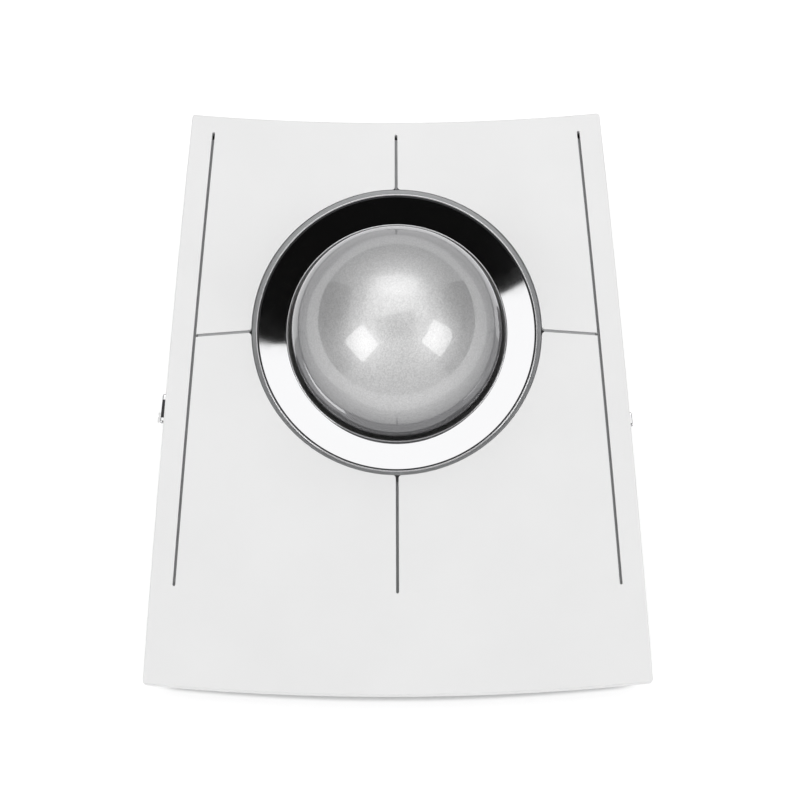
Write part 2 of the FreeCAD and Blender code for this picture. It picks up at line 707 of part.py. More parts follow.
def receiver_housing():
    """The moulded sleeve round the stowed receiver."""
    wall = RECEIVER_WALL
    cap_top = FLOOR_BOTTOM_Z + RECEIVER_CAP.z
    high = cap_top + RECEIVER_SUNK + RECEIVER_PLUG.z + RECEIVER_FIT + wall
    lower = receiver_block(RECEIVER_CAP, wall, FLOOR_BOTTOM_Z + 0.5, cap_top + 2 * wall)
    upper = receiver_block(RECEIVER_PLUG, wall, cap_top, high)
    return lower.fuse(upper)


def make_case():
    """The bottom case: a tapering tray with its screw posts and the receiver's sleeve."""
    tray = case_block(0, FLOOR_BOTTOM_Z, PARTING_Z - 0.05)
    tray = tray.cut(case_block(CASE_WALL, FLOOR_TOP_Z, PARTING_Z + 1))
    cup_posts = []
    for x, y in cup_post_places():
        cup_posts += screw_posts([(x, y)], cup_ear_z(y), CUP_POST_RADIUS)
    posts = screw_posts(main_board_screws(), MAIN_BOARD_Z)
    posts += screw_posts(charge_board_screws(), CHARGE_BOARD_Z)
    for side in SIDES.values():
        posts += screw_posts(button_board_screws(side), BUTTON_BOARD_Z)
    posts += screw_posts(case_screw_places(), FLOOR_TOP_Z + 0.05, CASE_POST_RADIUS)
    tray = tray.fuse(cup_posts + posts + [receiver_housing()])
    cutters = [receiver_cavity(RECEIVER_FIT)]
    for x, y in case_screw_places():
        cutters.append(cylinder(SCREW_CLEARANCE, Vector(x, y, 0), FLOOR_TOP_Z + 1.0))
        cutters.append(cylinder(SCREW_COUNTERBORE, Vector(x, y, 0), FLOOR_BOTTOM_Z + 1.0))
    for centre in foot_places().values():
        cutters.append(foot_shape(centre, 0.1, 0, FLOOR_BOTTOM_Z + FOOT_RECESS))
    cutters.append(cylinder(PAIRING_RADIUS + 0.1, Vector(PAIRING_X, PAIRING_Y, 0), FLOOR_TOP_Z + 1.0))
    board_posts = main_board_screws() + charge_board_screws()
    for side in SIDES.values():
        board_posts += button_board_screws(side)
    for x, y in board_posts:
        cutters.append(cylinder(SCREW_SHANK, Vector(x, y, FLOOR_TOP_Z), ABOVE_ALL))
    for x, y in cup_post_places():
        cutters.append(cylinder(CUP_SCREW_SHANK, Vector(x, y, FLOOR_TOP_Z), ABOVE_ALL))
    export(tray.cut(cutters), "bottom_case")


def make_feet():
    """Four rubber feet in shallow recesses."""
    for name, centre in foot_places().items():
        export(foot_shape(centre, 0, 0, FLOOR_BOTTOM_Z + FOOT_RECESS), "foot_" + name)


# ---------------------------------------------------------------- boards and switches

def board_with_holes(x_range, y_range, low, places, thickness=BOARD_THICKNESS):
    """A circuit board with its screw holes."""
    board = box(x_range, y_range, (low, low + thickness))
    return board.cut([cylinder(1.0, Vector(x, y, low - 1), thickness + 2) for x, y in places])


def switch_plunger_centre(side, end):
    """The middle of a plunger's foot inside its switch."""
    top = BUTTON_BOARD_Z + BOARD_THICKNESS + SWITCH_BODY.z
    return Vector(side * BUTTON_BOARD_X, BALL_CENTRE.y + PLUNGER_Y[end], top - PLUNGER_DEPTH)


def make_switches():
    """A microswitch under the free end of each panel, on two boards beside the ball."""
    top = BUTTON_BOARD_Z + BOARD_THICKNESS
    for name, side in SIDES.items():
        inner = side * (BUTTON_BOARD_X - 5.0)
        outer = side * (BUTTON_BOARD_X + 10.0)
        x_range = (min(inner, outer), max(inner, outer))
        y_range = (BALL_CENTRE.y - 25.0, BALL_CENTRE.y + 24.0)
        board = board_with_holes(x_range, y_range, BUTTON_BOARD_Z, button_board_screws(side))
        export(board, "button_board_" + name)
        for end, sign in (("rear", 1), ("front", -1)):
            foot = switch_plunger_centre(side, end)
            middle_y = foot.y + sign * 3.2
            body = centred_box(Vector(foot.x, middle_y, top + SWITCH_BODY.z / 2), SWITCH_BODY)
            well = centred_box(foot + Vector(0, 0, 1.0), PLUNGER_WELL)
            export(body.cut(well), "switch_" + end + "_" + name)
            middle_z = PLUNGER_DEPTH + PLUNGER_STANDS - PLUNGER.z / 2
            plunger = centred_box(foot + Vector(0, 0, middle_z), PLUNGER)
            rim = [edge for edge in plunger.Edges if edge.BoundBox.ZMin > foot.z + 2.2]
            export(plunger.makeFillet(0.3, rim), "plunger_" + end + "_" + name)


def make_main_board():
    """The main board with its controller."""
    board = board_with_holes(MAIN_BOARD_X, MAIN_BOARD_Y, MAIN_BOARD_Z, main_board_screws())
    export(board, "main_board")
    top = MAIN_BOARD_Z + BOARD_THICKNESS
    export(box(CONTROLLER_X, CONTROLLER_Y, (top, top + 1.0)), "controller_chip")
    export(box(RADIO_X, RADIO_Y, (top, top + 1.6)), "radio_module")


def make_battery():
    """The flat rechargeable cell beside the main board, and the lead that joins them."""
    export(rounded_box(BATTERY_CENTRE, BATTERY, 2.0, Y_AXIS), "battery_cell")
    z = MAIN_BOARD_Z + BOARD_THICKNESS
    pair = []
    for shift in (0, 1.3):
        points = [
            Vector(-7.0, -40.0 + shift, z + 0.8),
            Vector(-3.5, -40.0 + shift, z + 1.3),
            Vector(0.0, -42.0 + shift, z + 1.0),
            Vector(4.0, -43.0 + shift, z + 0.6),
        ]
        pair.append(lead(points, BATTERY_WIRE_RADIUS))
    export(Part.makeCompound(pair), "battery_lead")


def make_side_controls():
    """The mode switch on the left flank and the small button on the right one."""
    bezel = rounded_box(Vector(MODE_BEZEL_PROUD - MODE_BEZEL.x / 2, 0, 0), MODE_BEZEL, 1.0, X_AXIS)
    rim = [edge for edge in bezel.Edges if edge.BoundBox.XMin > MODE_BEZEL_PROUD - 0.01]
    bezel = bezel.makeFillet(0.5, rim)
    window = rounded_box(ORIGIN, Vector(FLANK_CUT, MODE_WINDOW_LENGTH, MODE_WINDOW_HEIGHT), 0.5, X_AXIS)
    export(on_flank(bezel.cut(window), -1, MODE_SWITCH_Y, SIDE_CONTROL_Z), "mode_switch_bezel")
    knob_y = -(MODE_TRAVEL + 0.4) / 2
    knob = rounded_box(Vector(MODE_KNOB_PROUD - MODE_KNOB.x / 2, knob_y, 0), MODE_KNOB, 0.4, X_AXIS)
    groove = cylinder(0.35, Vector(MODE_KNOB_PROUD, knob_y + 0.3, -MODE_KNOB.z), 2 * MODE_KNOB.z)
    stem = centred_box(Vector(-3.2, knob_y, 0), Vector(6.0, 1.4, 1.0))
    export(on_flank(knob.cut(groove).fuse(stem), -1, MODE_SWITCH_Y, SIDE_CONTROL_Z), "mode_slider")
    body = centred_box(Vector(-6.3, 0, -0.2), Vector(4.0, 9.0, 3.7))
    channel = centred_box(Vector(-5.3, 0, 0), Vector(2.8, MODE_TRAVEL + 2.2, 1.6))
    export(on_flank(body.cut(channel), -1, MODE_SWITCH_Y, SIDE_CONTROL_Z), "mode_switch_body")
    cap = rounded_box(Vector(DPI_PROUD - DPI_BUTTON.x / 2, 0, 0), DPI_BUTTON, 1.0, X_AXIS)
    rim = [edge for edge in cap.Edges if edge.BoundBox.XMin > DPI_PROUD - 0.01]
    cap = cap.makeFillet(0.3, rim)
    collar_size = Vector(0.9, DPI_BUTTON.y + 1.6, DPI_BUTTON.z + 0.9)
    collar = rounded_box(Vector(-2.6, 0, 0), collar_size, 1.4, X_AXIS)
    nib = cylinder(0.9, Vector(-4.0, 0, 0), 2.0, X_AXIS)
    export(on_flank(cap.fuse([collar, nib]), 1, DPI_BUTTON_Y, SIDE_CONTROL_Z), "dpi_button")
    tact = centred_box(Vector(-6.4, 0, -0.3), Vector(3.6, 6.0, 3.4))
    export(on_flank(tact, 1, DPI_BUTTON_Y, SIDE_CONTROL_Z), "dpi_tact_switch")


def make_pairing_button():
    """The pairing button in the floor, and its switch under the main board."""
    foot = Vector(PAIRING_X, PAIRING_Y, FLOOR_BOTTOM_Z + 0.25)
    cap = cylinder(PAIRING_RADIUS, foot, FLOOR_TOP_Z - foot.z + 0.2)
    flange = cylinder(PAIRING_RADIUS + 0.8, Vector(foot.x, foot.y, FLOOR_TOP_Z + 0.05), 0.45)
    export(cap.fuse(flange), "pairing_button")
    half = TACT_SWITCH_HALF
    switch = box((PAIRING_X - half, PAIRING_X + half), (PAIRING_Y - half, PAIRING_Y + half),
                 (MAIN_BOARD_Z - 2.2, MAIN_BOARD_Z))
    export(switch, "pairing_tact_switch")


def make_socket():
    """The small board behind the ball with the charging socket."""
    board = board_with_holes(CHARGE_BOARD_X, CHARGE_BOARD_Y, CHARGE_BOARD_Z, charge_board_screws())
    export(board, "charge_board")
    mouth = socket_centre()
    middle = mouth - Vector(0, USB_C_DEPTH / 2 + 0.1, 0)
    can = rounded_box(middle, Vector(USB_C_WIDTH, USB_C_DEPTH, USB_C_HEIGHT), USB_C_HEIGHT * 0.46, Y_AXIS)
    room_size = Vector(USB_C_WIDTH - 0.6, USB_C_DEPTH, USB_C_HEIGHT - 0.66)
    room = rounded_box(middle + Vector(0, 0.6, 0), room_size, room_size.z * 0.46, Y_AXIS)
    export(can.cut(room), "usb_c_shell")
    tongue = centred_box(middle + Vector(0, -0.6, 0), Vector(6.7, USB_C_DEPTH - 2.4, 0.7))
    export(tongue, "usb_c_tongue")


def make_receiver():
    """The wireless receiver, stowed in the underside: a plastic cap and its steel plug."""
    cap = RECEIVER_CAP
    plug = RECEIVER_PLUG
    low = FLOOR_BOTTOM_Z + RECEIVER_SUNK
    body = rounded_box(Vector(RECEIVER_X, RECEIVER_Y, low + cap.z / 2), cap, 1.0, Y_AXIS)
    export(body, "receiver_cap")
    shell = centred_box(Vector(RECEIVER_X, RECEIVER_Y, low + cap.z + plug.z / 2), plug)
    room = centred_box(Vector(RECEIVER_X, RECEIVER_Y - 0.8, low + cap.z + plug.z / 2 + 0.5),
                       Vector(plug.x - 0.8, plug.y - 2.4, plug.z))
    export(shell.cut(room), "receiver_plug")


# ---------------------------------------------------------------- leads

def sensor_lead(name):
    """From a sensor board, down beside the cup and along the floor to the main board."""
    side = SIDES[name]
    start = BALL_CENTRE + direction(SENSOR_AZIMUTHS[name], SENSOR_ELEVATION) * 36.8 + Vector(0, 0, 1.0)
    beside_cup = [
        start,
        start + Vector(side * 3.0, 1.5, -2.2),
        Vector(side * 33.0, 26.0, 5.4),
        Vector(side * 34.0, 10.0, 4.4),
        Vector(side * 31.0, -3.0, 4.4),
    ]
    if side < 0:
        onward = [
            Vector(-22.0, -10.5, 4.6),
            Vector(-8.0, -16.5, 5.6),
            Vector(6.0, -20.0, 7.4),
            Vector(14.0, -25.5, LEAD_OVER_BOARD_Z + 0.5),
            Vector(14.0, -31.0, LEAD_OVER_BOARD_Z),
        ]
    else:
        onward = [
            Vector(26.0, -12.0, 5.0),
            Vector(24.0, -19.0, 7.6),
            Vector(22.0, -25.5, LEAD_OVER_BOARD_Z + 0.5),
            Vector(22.0, -31.0, LEAD_OVER_BOARD_Z),
        ]
    return beside_cup + onward


def button_lead(name):
    """From a button board, down behind the flank and forward to the main board."""
    side = SIDES[name]
    flank = [
        Vector(side * 52.0, 4.3, BUTTON_BOARD_Z - 0.7),
        Vector(side * 52.0, -4.0, BUTTON_BOARD_Z - 0.9),
        Vector(side * 51.5, -12.5, 12.0),
        Vector(side * 46.0, -20.0, 9.6),
    ]
    if side < 0:
        onward = [
            Vector(-30.0, -23.8, LEAD_OVER_BOARD_Z),
            Vector(-12.0, -24.2, LEAD_OVER_BOARD_Z),
            Vector(0.5, -26.0, LEAD_OVER_BOARD_Z + 0.5),
            Vector(5.0, -31.0, LEAD_OVER_BOARD_Z),
        ]
    else:
        onward = [
            Vector(40.0, -26.0, LEAD_OVER_BOARD_Z + 0.8),
            Vector(38.0, -31.0, LEAD_OVER_BOARD_Z),
        ]
    return flank + onward


def charge_lead():
    """From the socket's board, round the left of the cup and forward to the main board."""
    return [
        Vector(-12.6, 66.0, CHARGE_BOARD_Z - 0.7),
        Vector(-19.0, 65.0, CHARGE_BOARD_Z - 1.4),
        Vector(-30.0, 59.5, 8.0),
        Vector(-40.0, 50.0, 4.4),
        Vector(-40.5, 36.0, 3.8),
        Vector(-40.0, 21.0, 3.9),
        Vector(-38.6, 7.0, 3.8),
        Vector(-38.5, -8.0, 3.8),
        Vector(-37.5, -18.0, 4.0),
        Vector(-30.0, -21.3, 4.4),
        Vector(-15.0, -21.8, 5.2),
        Vector(1.0, -22.6, 7.2),
        Vector(9.5, -26.3, LEAD_OVER_BOARD_Z + 0.6),
        Vector(9.5, -31.0, LEAD_OVER_BOARD_Z),
    ]


def make_leads():
    """Leads inside the case, all ending on the main board."""
    for name in SIDES:
        export(lead(sensor_lead(name), LEAD_RADIUS), "sensor_lead_" + name)
        export(lead(button_lead(name), LEAD_RADIUS), "button_lead_" + name)
    export(lead(charge_lead(), LEAD_RADIUS), "charge_lead")


# ---------------------------------------------------------------- screws

def screw(place, seat, length, shank, head_radius, head_height, points_up):
    """A pan-head screw. Its seat is the face under the head."""
    x, y = place
    sign = 1 if points_up else -1
    stem = cylinder(shank, Vector(x, y, min(seat, seat + sign * length)), length)
    head = cylinder(head_radius, Vector(x, y, min(seat, seat - sign * head_height)), head_height)
    body = stem.fuse(head)
    face = seat - sign * head_height
    crown = [edge for edge in body.Edges if abs(edge.BoundBox.ZMin - face) < 0.01
             and abs(edge.BoundBox.ZMax - face) < 0.01]
    body = body.makeFillet(head_height * 0.35, crown)
    depth = head_height * 0.6
    middle = Vector(x, y, face + sign * depth / 2)
    arms = []
    for wide, deep in ((head_radius * 1.1, 0.4), (0.4, head_radius * 1.1)):
        arms.append(centred_box(middle, Vector(wide, deep, depth)))
    return body.cut(arms)


def make_screws():
    """Case screws from below, and the screws of the cup and the boards from above."""
    case = []
    for place in case_screw_places():
        case.append(screw(place, FLOOR_BOTTOM_Z + 1.0, SCREW_LENGTH, SCREW_SHANK, 2.0, 0.9, True))
    export(Part.makeCompound(case), "case_screws")
    cup = []
    for x, y in cup_post_places():
        seat = cup_ear_z(y) + CUP_FLANGE_THICKNESS
        cup.append(screw((x, y), seat, 7.0, CUP_SCREW_SHANK, 1.9, CUP_SCREW_HEAD_HEIGHT, False))
    export(Part.makeCompound(cup), "cup_screws")
    boards = []
    places = [(place, MAIN_BOARD_Z, 4.5) for place in main_board_screws()]
    places += [(place, CHARGE_BOARD_Z, 6.0) for place in charge_board_screws()]
    for side in SIDES.values():
        places += [(place, BUTTON_BOARD_Z, 6.0) for place in button_board_screws(side)]
    for place, board_z, length in places:
        boards.append(screw(place, board_z + BOARD_THICKNESS, length, SCREW_SHANK, 1.7, 1.0, False))
    export(Part.makeCompound(boards), "board_screws")


os.makedirs("parts", exist_ok=True)
make_cover()
make_ring()
make_cup()
make_bearings()
make_ball()
make_sensors()
make_case()
make_feet()
make_switches()
make_main_board()
make_battery()
make_side_controls()
make_pairing_button()
make_socket()
make_receiver()
make_leads()
make_screws()
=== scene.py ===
import json
import math

import bmesh
import bpy
from mathutils import Matrix, Vector
from mathutils.bvhtree import BVHTree


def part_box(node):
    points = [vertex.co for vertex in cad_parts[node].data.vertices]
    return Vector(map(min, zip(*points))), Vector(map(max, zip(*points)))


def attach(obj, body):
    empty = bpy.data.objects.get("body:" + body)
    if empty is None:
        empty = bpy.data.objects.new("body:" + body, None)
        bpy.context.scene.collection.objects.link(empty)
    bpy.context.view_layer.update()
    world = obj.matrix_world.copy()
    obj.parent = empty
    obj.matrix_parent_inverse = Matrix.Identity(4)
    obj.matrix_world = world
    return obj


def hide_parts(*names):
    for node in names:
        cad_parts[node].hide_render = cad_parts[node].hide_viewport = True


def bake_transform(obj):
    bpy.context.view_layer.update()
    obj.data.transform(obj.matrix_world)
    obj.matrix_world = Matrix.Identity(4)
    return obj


# The looks of a white desktop trackball: a pearl ball in a chrome ring, in an arched satin cover.
# Metres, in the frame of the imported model.

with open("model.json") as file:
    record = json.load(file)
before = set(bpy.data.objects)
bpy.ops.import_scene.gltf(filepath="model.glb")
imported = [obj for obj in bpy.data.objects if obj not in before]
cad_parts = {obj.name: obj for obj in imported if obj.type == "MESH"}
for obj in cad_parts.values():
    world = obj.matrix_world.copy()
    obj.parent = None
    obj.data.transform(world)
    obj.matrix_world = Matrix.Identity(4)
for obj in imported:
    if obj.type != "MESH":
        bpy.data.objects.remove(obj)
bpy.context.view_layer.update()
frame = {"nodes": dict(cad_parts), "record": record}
nodes = frame["nodes"]
MM = 0.001
SIDES = {"left": -1, "right": 1}
HARD_ANGLE = math.radians(32)  # edges sharper than this are shaded hard

# ---- Places read from the frame ----
BALL_LOW, BALL_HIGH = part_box("ball_clear_coat")
BALL_CENTRE = (BALL_LOW + BALL_HIGH) / 2
RING_LOW, RING_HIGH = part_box("bezel_ring")
RING_OUTER_RADIUS = (RING_HIGH.x - RING_LOW.x) / 2

# ---- Chrome ring: radii, and heights above its tilted plane through the ball's centre ----
RING_TILT = math.radians(8.0)
RING_SEGMENTS = 320
RING_LIP_INNER = 36.5 * MM
RING_INNER = 28.6 * MM
RING_LIP_TOP = -0.6 * MM
RING_CONE_TOP = -1.05 * MM
RING_CONE_BOTTOM = -1.75 * MM
RING_SEAT = -5.4 * MM
RING_WALL = 1.1 * MM
RING_BEAD = 0.16 * MM  # radius of the fine bead at the inner edge
RING_GROOVE = 0.42 * MM  # width of the groove between the lip and the cone
CONE_STEPS = 10
ARC_STEPS = 13
SHADE_LINE_RECESS = 0.03 * MM  # the groove's dark ring, a painted shade line, stands this far below the cone
SHADE_LINE_DIP = 0.06 * MM
HOLE_RADIUS = 38.05 * MM  # of the cover's hole round the ring
HOLE_SHIFT = 0.35 * MM
STEP_TOP = -2.2 * MM  # of the pale step in the gap between the ring and its hole
STEP_DEPTH = 0.9 * MM
STEP_EDGE = 0.1 * MM
STEP_RING_OVERLAP = 0.15 * MM
STEP_HOLE_GAP = 0.1 * MM

# ---- Click panels: each end's hinge runs from the middle plane at a y to an outer (x, y) ----
HINGE_LINES = {
    "rear": (69.6 * MM, (48.6 * MM, 70.8 * MM)),
    "front": (-50.5 * MM, (57.9 * MM, -48.2 * MM)),
}
HINGE_GAP = 0.1 * MM
HINGE_REACH = 0.08 * MM  # how far from its line a point still counts as on the hinge
HINGE_OVERRUN = 0.02  # and how far past the line's ends, as a share of its length

# ---- Slits: start and end in plan, how far the rib stops short of each, depth of its top ----
SLITS = {
    "long": ((48.6 * MM, 70.8 * MM), (57.9 * MM, -48.2 * MM), (1.2 * MM, 0.0), 1.6 * MM),
    "short": ((37.0 * MM, 16.75 * MM), (52.9 * MM, 15.75 * MM), (1.6 * MM, 0.9 * MM), 0.6 * MM),
    "centre_rear": ((0.0, 54.4 * MM), (0.0, 69.6 * MM), (0.6 * MM, 0.8 * MM), 1.0 * MM),
    "centre_front": ((0.0, -21.8 * MM), (0.0, -50.5 * MM), (0.6 * MM, 0.0), 1.8 * MM),
}
RIB_WIDTH = 0.7 * MM
RIB_STEPS = 24
# The rib's section: shares of its width, and drops below its top in millimetres.
RIB_SECTION = ((-0.5, 0.0), (-0.3, -0.06), (0.3, -0.06), (0.5, 0.0), (0.5, 1.2), (-0.5, 1.2))
COVER_NODES = (
    "top_cover", "rear_left_button", "rear_right_button", "front_left_button", "front_right_button",
)
ABOVE = 0.2  # a height above the whole part, to look down from
BESIDE_SLIT = 1.5 * MM

# ---- Mode switch liner ----
BEZEL_WIDTH = 2.1 * MM
LINER_SIZE = Vector((1.0, 4.9, 0.25)) * MM
LINER_BEVEL = 0.08 * MM
LINER_SHIFT = Vector((-0.35, -0.1, -0.02)) * MM  # from the middle of the bezel's top

# ---- Camera ----
CAMERA_FROM_BALL = Vector((0.2, -179.9, 562.2)) * MM
AIM_FROM_BALL = Vector((0.8, -17.3, -4.8)) * MM
LENS_MM = 101.6
SENSOR_MM = 36.0
CLIP_START = 0.05
CLIP_END = 20.0

# ---- Studio, placed from the ball's centre ----
WATTS_PER_RADIANCE = math.pi
SKY_RADIANCE = 0.45
HORIZON_RADIANCE = 0.48
SKY_BLEND = 0.5  # the sky reaches its own radiance at this share of the way up
# Soft boxes that face the floor or the ball: place, size, radiance.
REAR_SOFTBOX = ((0.0, 0.53, 0.95), (1.2, 1.1), 0.57)
REAR_KEY = ((0.0, 0.62, 0.95), (0.8, 0.45), 0.7)
OVERHEAD_FILL = ((0.0, -0.1, 1.3), (2.4, 2.4), 0.42)
DOWN = (0, 0, -1)
DIAMOND_RADIANCE = 2.1
DIAMOND_SIDE = 0.55
DIAMOND_DISTANCE = 1.1
DIAMONDS = {"left_softbox": (-0.612, -0.427, 0.666), "right_softbox": (0.712, -0.319, 0.626)}
CARDS = {
    "card_over_camera": (
        (-0.26, -0.34, 0.75), (0.26, -0.34, 0.75), (0.26, 0.076, 0.75), (-0.26, -0.049, 0.75),
    ),
    "card_left": ((-1.0, -0.9, -0.03), (-1.0, 0.8, -0.03), (-1.0, 0.8, 0.8), (-1.0, -0.9, 0.8)),
    "card_right": ((1.0, -0.9, -0.03), (1.0, 0.8, -0.03), (1.0, 0.8, 0.8), (1.0, -0.9, 0.8)),
}
FLOOR_HALF = 3.0
FLOOR_GREY = 0.66
# Painted light: the floor glows by an emission, though it is no lamp.
FLOOR_PAINTED_GLOW = 0.5
PAINTED_SHADOW_REACH = 6.5 * MM  # how near a surface has to be to take the floor's painted glow away, painting a contact shadow
PAINTED_SHADOW_RANGE = (0.80, 0.94)  # openness of the floor at which its painted glow starts and is full


# ---------------------------------------------------------------- materials

def add(tree, kind, **inputs):
    """A shader node of one kind, with the inputs given by name."""
    node = tree.nodes.new(kind)
    for name, value in inputs.items():
        node.inputs[name.replace("_", " ")].default_value = value
    return node


def new_material(name, color, roughness, metallic=0.0):
    """A material with one Principled shader. Returns the material, its tree and the shader."""
    material = bpy.data.materials.new(name)
    material.use_nodes = True
    tree = material.node_tree
    shader = tree.nodes["Principled BSDF"]
    shader.inputs["Base Color"].default_value = (*color, 1.0)
    shader.inputs["Roughness"].default_value = roughness
    shader.inputs["Metallic"].default_value = metallic
    material.diffuse_color = (*color, 1.0)
    return material, tree, shader


def noise_at(tree, scale, detail=2.0):
    """Noise over the object's own coordinates, its scale per metre."""
    place = add(tree, "ShaderNodeTexCoord")
    noise = add(tree, "ShaderNodeTexNoise", Scale=scale, Detail=detail)
    tree.links.new(place.outputs["Object"], noise.inputs["Vector"])
    return noise


def spread_from(tree, value, low, high):
    """Stretch a texture's 0 to 1 between two values. Returns the output socket."""
    spread = add(tree, "ShaderNodeMapRange", To_Min=low, To_Max=high)
    tree.links.new(value, spread.inputs["Value"])
    return spread.outputs["Result"]


def vary_roughness(tree, shader, value, low, high):
    """Let the roughness wander between two values."""
    tree.links.new(spread_from(tree, value, low, high), shader.inputs["Roughness"])


def vary_color(tree, shader, noise, dark, light):
    """Let the colour wander between two colours."""
    ramp = add(tree, "ShaderNodeValToRGB")
    ramp.color_ramp.elements[0].position = 0.3
    ramp.color_ramp.elements[0].color = (*dark, 1.0)
    ramp.color_ramp.elements[1].position = 0.7
    ramp.color_ramp.elements[1].color = (*light, 1.0)
    tree.links.new(noise.outputs["Fac"], ramp.inputs["Fac"])
    tree.links.new(ramp.outputs["Color"], shader.inputs["Base Color"])


def bump_from(tree, shader, height, depth, strength=1.0):
    """Raise the surface by a texture. Depth in metres."""
    bump = add(tree, "ShaderNodeBump", Strength=strength, Distance=depth)
    tree.links.new(height, bump.inputs["Height"])
    tree.links.new(bump.outputs["Normal"], shader.inputs["Normal"])


def moulded_plastic(name, dark, light, roughness, grain=2600.0, depth=0.006 * MM):
    """Moulded plastic with a fine spark-eroded texture."""
    material, tree, shader = new_material(name, light, roughness)
    vary_color(tree, shader, noise_at(tree, 45.0, 3.0), dark, light)
    fine = noise_at(tree, grain, 3.0).outputs["Fac"]
    vary_roughness(tree, shader, fine, roughness - 0.05, roughness + 0.07)
    bump_from(tree, shader, fine, depth)
    shader.inputs["Specular IOR Level"].default_value = 0.42
    return material


def polished_chrome(name):
    """Bright plating with the faintest haze and ripple."""
    material, tree, shader = new_material(name, (0.93, 0.93, 0.94), 0.03, 1.0)
    vary_roughness(tree, shader, noise_at(tree, 320.0, 4.0).outputs["Fac"], 0.015, 0.05)
    bump_from(tree, shader, noise_at(tree, 90.0, 1.0).outputs["Fac"], 0.002 * MM)
    return material


def pearl_coat(name):
    """Silver pearl: flakes that each face their own way, under a clear gloss.

    The base colour darkens where the surface turns away from the eye: painted shade toward the
    ball's outline, standing in for the pearl's flop.
    """
    material, tree, shader = new_material(name, (0.80, 0.80, 0.81), 0.52, 0.7)
    place = add(tree, "ShaderNodeTexCoord")
    flakes = add(tree, "ShaderNodeTexVoronoi", Scale=3400.0)
    tree.links.new(place.outputs["Object"], flakes.inputs["Vector"])
    flake = flakes.outputs["Color"]
    bump_from(tree, shader, flake, 0.03 * MM, 0.35)
    vary_roughness(tree, shader, flake, 0.42, 0.52)
    # Painted shade: the base colour is darkened toward the ball's outline as seen from the camera.
    painted_shade_facing = add(tree, "ShaderNodeLayerWeight", Blend=0.5)
    flop_painted_shade = add(tree, "ShaderNodeValToRGB")
    flop_painted_shade.color_ramp.elements[0].color = (1.0, 1.0, 1.0, 1.0)
    flop_painted_shade.color_ramp.elements[1].color = (0.28, 0.28, 0.29, 1.0)
    flop_painted_shade.color_ramp.elements[1].position = 0.6
    tree.links.new(painted_shade_facing.outputs["Facing"], flop_painted_shade.inputs["Fac"])
    flake_and_painted_shade = tree.nodes.new("ShaderNodeVectorMath")
    flake_and_painted_shade.operation = "SCALE"
    tree.links.new(flop_painted_shade.outputs["Color"], flake_and_painted_shade.inputs[0])
    tree.links.new(spread_from(tree, flake, 0.74, 1.0), flake_and_painted_shade.inputs["Scale"])
    tree.links.new(flake_and_painted_shade.outputs["Vector"], shader.inputs["Base Color"])
    shader.inputs["Coat Weight"].default_value = 1.0
    shader.inputs["Coat Roughness"].default_value = 0.012
    shader.inputs["Coat IOR"].default_value = 1.8
    return material


def brushed_metal(name, color, roughness):
    """Sheet or plated steel with fine streaks."""
    material, tree, shader = new_material(name, color, roughness, 1.0)
    place = add(tree, "ShaderNodeTexCoord")
    stretch = add(tree, "ShaderNodeMapping")
    stretch.inputs["Scale"].default_value = (200.0, 4000.0, 4000.0)
    streaks = add(tree, "ShaderNodeTexNoise", Scale=1.0, Detail=2.0)
    tree.links.new(place.outputs["Object"], stretch.inputs["Vector"])
    tree.links.new(stretch.outputs["Vector"], streaks.inputs["Vector"])
    vary_roughness(tree, shader, streaks.outputs["Fac"], roughness - 0.08, roughness + 0.1)
    bump_from(tree, shader, streaks.outputs["Fac"], 0.002 * MM)
    return material


def soft_rubber(name):
    """Matt foot rubber with a little dust in its grain."""
    material, tree, shader = new_material(name, (0.07, 0.07, 0.072), 0.82)
    grain = noise_at(tree, 1800.0, 4.0).outputs["Fac"]
    dust = noise_at(tree, 120.0, 4.0)
    vary_color(tree, shader, dust, (0.055, 0.055, 0.057), (0.10, 0.10, 0.10))
    vary_roughness(tree, shader, grain, 0.74, 0.9)
    bump_from(tree, shader, grain, 0.02 * MM)
    return material


def clear_lens(name):
    """Clear moulded lens."""
    material, tree, shader = new_material(name, (0.93, 0.95, 0.97), 0.05)
    shader.inputs["Transmission Weight"].default_value = 1.0
    shader.inputs["IOR"].default_value = 1.49
    vary_roughness(tree, shader, noise_at(tree, 500.0).outputs["Fac"], 0.02, 0.08)
    return material


# Plastics: darker and lighter colour, roughness, and the grain's scale and depth where they differ.
PLASTICS = {
    "cover_white": ((0.79, 0.79, 0.79), (0.81, 0.81, 0.81), 0.46),
    "case_grey": ((0.33, 0.335, 0.34), (0.36, 0.365, 0.37), 0.58, 1900.0, 0.012 * MM),
    "ball_inner": ((0.40, 0.40, 0.41), (0.44, 0.44, 0.45), 0.35),
    "cup_grey": ((0.52, 0.52, 0.52), (0.56, 0.56, 0.56), 0.5),
    "bearing_white": ((0.86, 0.84, 0.80), (0.90, 0.88, 0.84), 0.15, 5000.0, 0.001 * MM),
    "board_green": ((0.02, 0.13, 0.06), (0.03, 0.17, 0.08), 0.35),
    "chip_black": ((0.018, 0.018, 0.02), (0.03, 0.03, 0.032), 0.6),
    "switch_black": ((0.02, 0.02, 0.022), (0.035, 0.035, 0.037), 0.5),
    "plunger_red": ((0.45, 0.05, 0.04), (0.55, 0.08, 0.06), 0.4),
    "lead_black": ((0.02, 0.02, 0.02), (0.03, 0.03, 0.03), 0.55),
}
# Metals with streaks: colour, roughness.
METALS = {
    "shield_steel": ((0.66, 0.67, 0.68), 0.32),
    "battery_silver": ((0.55, 0.56, 0.58), 0.42),
    "steel": ((0.62, 0.62, 0.63), 0.3),
}


